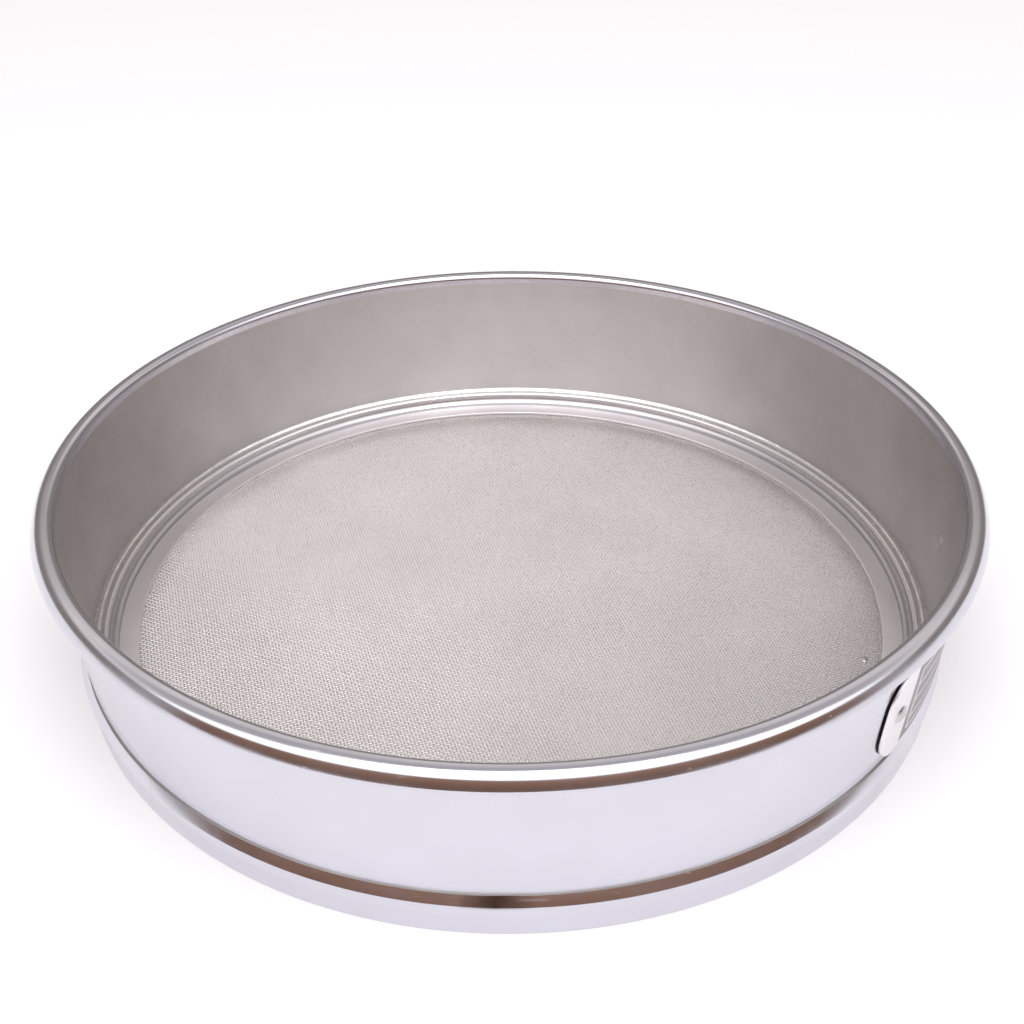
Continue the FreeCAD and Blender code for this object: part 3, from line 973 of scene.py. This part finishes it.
def wireFamily(names, runDegrees, pitch, otherDegrees, otherPitch, side):
    # each wire goes over one crossing wire and under the next
    rng = np.random.default_rng(cloth["seed"] + side)
    run = np.array([math.cos(math.radians(runDegrees)), math.sin(math.radians(runDegrees))])
    square = np.array([-run[1], run[0]])
    other = np.array([-math.sin(math.radians(otherDegrees)), math.cos(math.radians(otherDegrees))])
    radius, reach = cloth["wireRadius"], cloth["reach"]
    most = int(reach / pitch)
    numbers = np.arange(-most, most + 1)
    middle = (clothLow.z + clothHigh.z) / 2
    ringTurns = np.array([0, 0.5, 1.0, 1.5]) * math.pi
    verts, faces, split, base = [], [], [], 0
    for number in numbers:
        offset = number * pitch
        half = math.sqrt(max(reach ** 2 - offset ** 2, 0))
        lowest, highest = sorted(
            (offset * square @ other + end * run @ other) / otherPitch for end in (-half, half))
        crossings = np.arange(math.ceil(lowest), math.floor(highest) + 1)
        if len(crossings) < cloth["fewestCrossings"]:
            continue
        along = (crossings * otherPitch - offset * square @ other) / (run @ other)
        sway = rng.normal(0, cloth["unevenness"])
        swing = np.sin(along * rng.uniform(*cloth["swayTurns"]) + rng.uniform(0, 6.3))
        sway = sway + cloth["unevenness"] * swing
        centres = along[:, None] * run + (offset + sway)[:, None] * square
        lift = np.where((number + crossings) % 2 == 0, side, -side) * radius
        sideways = np.cos(ringTurns)[None, :, None] * square * radius
        spots = np.zeros((len(crossings), len(ringTurns), 3))
        spots[:, :, :2] = centres[:, None, :] + sideways
        spots[:, :, 2] = middle + lift[:, None] + np.sin(ringTurns) * radius
        verts.append(spots.reshape(-1, 3))
        rings = np.arange(len(crossings) - 1)[:, None] * 4 + base
        here = np.arange(4)
        there = (here + 1) % 4
        faces.append(np.stack([rings + here, rings + 4 + here, rings + 4 + there, rings + there],
                              -1).reshape(-1, 4))
        ends = base + (len(crossings) - 1) * 4
        faces.append(np.array([[base, base + 1, base + 2, base + 3],
                               [ends + 3, ends + 2, ends + 1, ends]]))
        base += len(crossings) * 4
        if number == 0:
            split = [len(verts), len(faces), base]
    halves = [
        (np.vstack(verts[:split[0]]), np.vstack(faces[:split[1]])),
        (np.vstack(verts[split[0]:]), np.vstack(faces[split[1]:]) - split[2]),
    ]
    for name, (places, quads) in zip(names, halves):
        piece = linked(name, places, quads, [wire])
        piece.data.polygons.foreach_set("use_smooth", np.ones(len(piece.data.polygons), bool))
        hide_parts("wire_cloth")


wireFamily(("warpWiresLeft", "warpWiresRight")[::-1], cloth["warpBearing"], cloth["warpPitch"],
           cloth["weftBearing"], cloth["weftPitch"], 1)
wireFamily(("weftWiresFront", "weftWiresBack"), cloth["weftBearing"], cloth["weftPitch"],
           cloth["warpBearing"], cloth["warpPitch"], -1)
print("cloth woven")


# The nameplate and its rivets.
plateLow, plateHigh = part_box("nameplate")
leftLow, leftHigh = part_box("rivet_left")
rightLow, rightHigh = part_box("rivet_right")
leftRivet = (leftLow + leftHigh) / 2
rightRivet = (rightLow + rightHigh) / 2
plate = {
    "length": 0.076,
    "corner": 0.0080,
    "bow": 0.0010,  # the ends are cut to a slight curve
    "sheet": 0.00045,
    "standoff": 0.00025,
    "endLift": 0.00012,  # the ends spring away from the wall
    "edge": 0.00014,
    "endMargin": 0.0098,  # bare metal outside the etched field
    "sideMargin": 0.0015,
    "liftReach": 0.014,
    "columns": 120,
    "rows": 36,
    # each rule's height from the middle, and where it starts and ends along the plate
    "rules": (
        (0.0072, -0.0255, 0.0255),
        (0.0030, -0.0255, -0.004),
        (0.0030, 0.002, 0.0255),
        (-0.0012, -0.0255, 0.0255),
        (-0.0056, -0.0255, -0.010),
        (-0.0056, -0.006, 0.0255),
        (-0.0086, -0.0255, 0.0255),
    ),
    "ruleWidth": 0.0006,
    "uprights": (-0.0255, -0.0040, 0.0255),
    "uprightWidth": 0.0007,
    "uprightMiddle": -0.0007,
    "uprightLength": 0.0158,
}
leftBearing = math.atan2(leftRivet.y, leftRivet.x)
rightBearing = math.atan2(rightRivet.y, rightRivet.x)
plate["bearing"] = (leftBearing + rightBearing) / 2
plate["radius"] = boreRadius + wall["sheet"] + plate["standoff"]
plate["height"] = plateHigh.z - plateLow.z
plate["middle"] = (plateHigh.z + plateLow.z) / 2


def plateMaterial():
    # bare bright metal with an etched grey field, empty boxes and rules; nothing is lettered
    material, tree, shader = newMaterial("etchedPlate")
    look = finishes["plate"]
    axis = placed(tree, aroundAxis)
    along = mathNode(tree, "MULTIPLY",
                     mathNode(tree, "SUBTRACT", axis["Bearing"], plate["bearing"]), plate["radius"])
    up = mathNode(tree, "SUBTRACT", axis["Height"], plate["middle"])
    fromMiddle = mathNode(tree, "ABSOLUTE", along)
    fromCentreLine = mathNode(tree, "ABSOLUTE", up)
    halfField = plate["length"] / 2 - plate["endMargin"]
    halfTall = plate["height"] / 2 - plate["sideMargin"]
    field = mathNode(tree, "MULTIPLY", mathNode(tree, "LESS_THAN", fromMiddle, halfField),
                     mathNode(tree, "LESS_THAN", fromCentreLine, halfTall))

    def band(value, place, width):
        return mathNode(tree, "COMPARE", value, place, width / 2)

    marks = None
    for height, start, end in plate["rules"]:
        rule = mathNode(tree, "MULTIPLY", band(up, height, plate["ruleWidth"]),
                        band(along, (start + end) / 2, end - start))
        marks = rule if marks is None else mathNode(tree, "MAXIMUM", marks, rule)
    for place in plate["uprights"]:
        upright = mathNode(tree, "MULTIPLY", band(along, place, plate["uprightWidth"]),
                           band(up, plate["uprightMiddle"], plate["uprightLength"]))
        marks = mathNode(tree, "MAXIMUM", marks, upright)
    bareMask = mathNode(tree, "MAXIMUM", mathNode(tree, "SUBTRACT", 1.0, field),
                        mathNode(tree, "MULTIPLY", marks, look["ruleBrightness"]))
    wear = placed(tree, handling, **{"Patch Size": look["patch"], "Spot Size": look["spot"]})
    etched = mixColours(tree, mathNode(tree, "MULTIPLY", wear["Smudge"], look["fieldWear"]),
                        look["etched"], look["worn"])
    bare = mixColours(tree, mathNode(tree, "MULTIPLY", wear["Spots"], look["bareWear"]),
                      look["bare"], look["worn"])
    tree.links.new(mixColours(tree, bareMask, etched, bare), shader.inputs["Base Color"])
    tree.links.new(rangeNode(tree, bareMask, 0.0, 1.0, look["fieldMetal"], look["bareMetal"]),
                   shader.inputs["Metallic"])
    grain = placed(tree, spinLines, **{"Lines Per Metre": look["linesPerMetre"],
                                       "Length": look["lineLength"]})["Lines"]
    dull = mathNode(tree, "MULTIPLY_ADD", grain, look["lineRoughness"], look["roughness"])
    dull = mathNode(tree, "MULTIPLY_ADD", mathNode(tree, "SUBTRACT", 1.0, bareMask),
                    look["fieldRoughness"], dull)
    tree.links.new(dull, shader.inputs["Roughness"])
    step = bumpInto(tree, shader, bareMask, look["etchBump"], look["etchDepth"])
    bumpInto(tree, shader, grain, look["lineBump"], look["lineDepth"], step)
    return material


def makePlate():
    edgeShare = plate["edge"] / (plate["height"] / 2)
    endShare = plate["edge"] / (plate["length"] / 2)
    acrossInside = np.linspace(-1 + endShare, 1 - endShare, plate["columns"])
    upInside = np.linspace(-1 + edgeShare, 1 - edgeShare, plate["rows"])
    acrossSteps = np.concatenate([[-1], acrossInside, [1]])
    upSteps = np.concatenate([[-1], upInside, [1]])
    across, up = np.meshgrid(acrossSteps, upSteps, indexing="ij")
    rise = up * plate["height"] / 2
    inCorner = np.maximum(np.abs(rise) - (plate["height"] / 2 - plate["corner"]), 0)
    inset = plate["corner"] - np.sqrt(plate["corner"] ** 2 - inCorner ** 2)
    inset = inset + plate["bow"] * up ** 2
    along = across * (plate["length"] / 2 - inset)
    bearing = plate["bearing"] + along / plate["radius"]
    height = plate["middle"] + rise
    reach = plate["liftReach"]
    ends = np.clip((np.abs(along) - plate["length"] / 2 + reach) / reach, 0, 1)
    wallRadius = plate["radius"] - np.maximum(boreEnd - height, 0) * wallSlope
    back = wallRadius + plate["endLift"] * ends ** 2
    onEdge = (np.abs(across) == 1) | (np.abs(up) == 1)
    front = back + plate["sheet"] - np.where(onEdge, plate["edge"], 0)
    layers = []
    for radius in (front, back):
        layers.append(np.stack([radius * np.cos(bearing), radius * np.sin(bearing), height], -1))
    verts = np.concatenate([layer.reshape(-1, 3) for layer in layers])
    columns, rows = across.shape
    grid = np.arange(columns * rows).reshape(columns, rows)
    quads = np.stack([grid[:-1, :-1], grid[1:, :-1], grid[1:, 1:], grid[:-1, 1:]], -1)
    quads = quads.reshape(-1, 4)
    under = columns * rows
    rim = np.concatenate([grid[:, 0], grid[-1, 1:], grid[-2::-1, -1], grid[0, -2:0:-1]])
    following = np.roll(rim, -1)
    sides = np.stack([rim, rim + under, following + under, following], -1)
    faces = np.concatenate([quads, quads[:, ::-1] + under, sides])
    piece = linked("nameplate_etched", verts, faces, [plateMaterial()])
    smoothed(piece.data, 50)
    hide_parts("nameplate")


makePlate()
for name in ("rivet_left", "rivet_right"):
    rivet = frame["nodes"][name]
    for slot in rivet.material_slots:
        slot.material = rivetAluminium
print("nameplate fitted")
